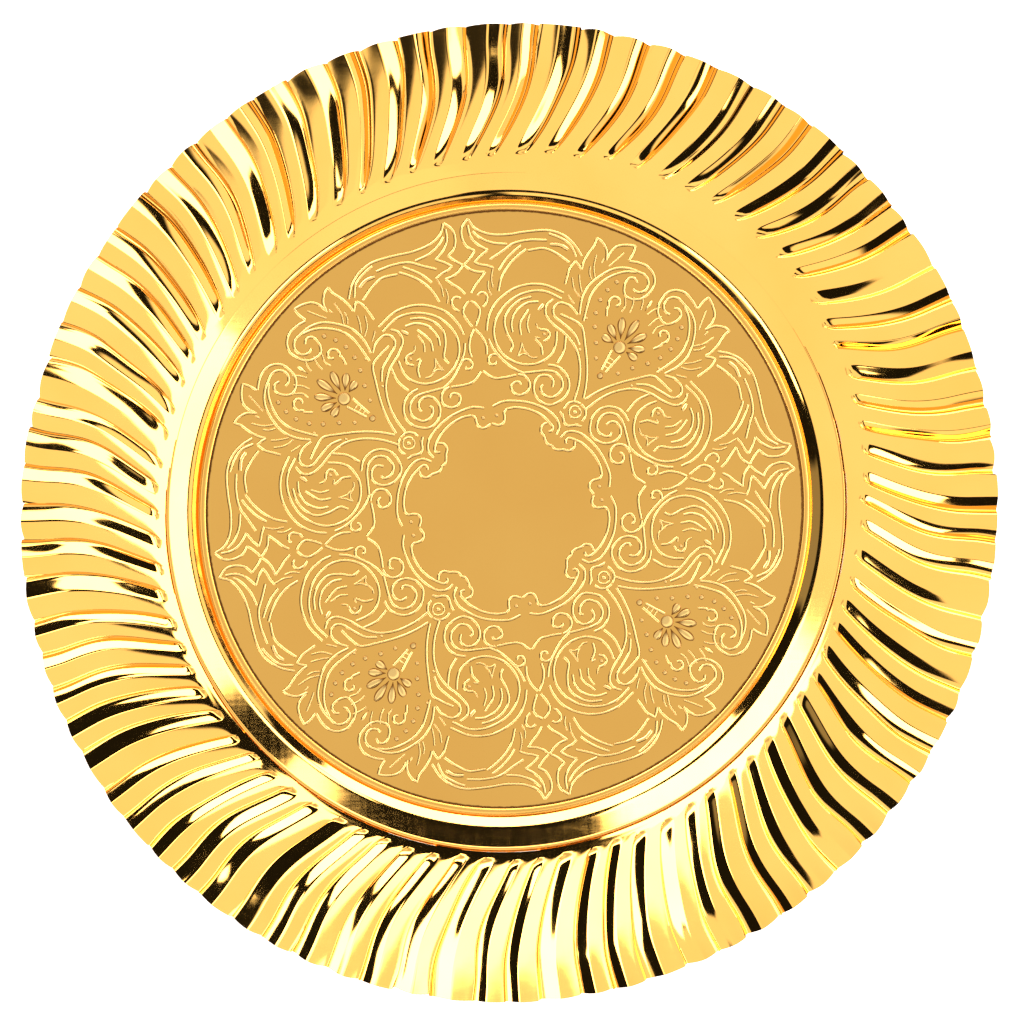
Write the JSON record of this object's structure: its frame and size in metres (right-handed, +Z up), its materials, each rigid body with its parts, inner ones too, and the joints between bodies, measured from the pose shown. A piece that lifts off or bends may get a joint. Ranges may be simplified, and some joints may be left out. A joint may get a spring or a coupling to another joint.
{
  "type": "brass tray",
  "caption": "Round brass charger tray with a deep-swept fluted rim, a shallow well and an embossed scrollwork disc set in it behind a low rounded ring.",
  "frame": {"origin": "centre of the flat face that the tray stands on", "axes": "+Z up along the tray's axis, +X and +Y across the rim"},
  "size_m": [0.3291, 0.3287, 0.0245],
  "materials": {
    "polished_brass": "mirror polished, gold lacquered, with fine wiping marks",
    "fluted_brass": "mirror polished, gold lacquered, crimped",
    "satin_brass": "half-gloss with a fine grain, embossed",
    "bright_brass": "mirror polished",
    "bond": "cured bonding film",
    "solder": "soft solder, as it set"
  },
  "bodies": {
    "root": {"well_pan": "polished_brass", "fluted_rim": "fluted_brass", "embossed_disc": "satin_brass", "disc_bezel": "bright_brass", "disc_bond": "bond", "seam_solder": "solder"}
  },
  "joints": []
}
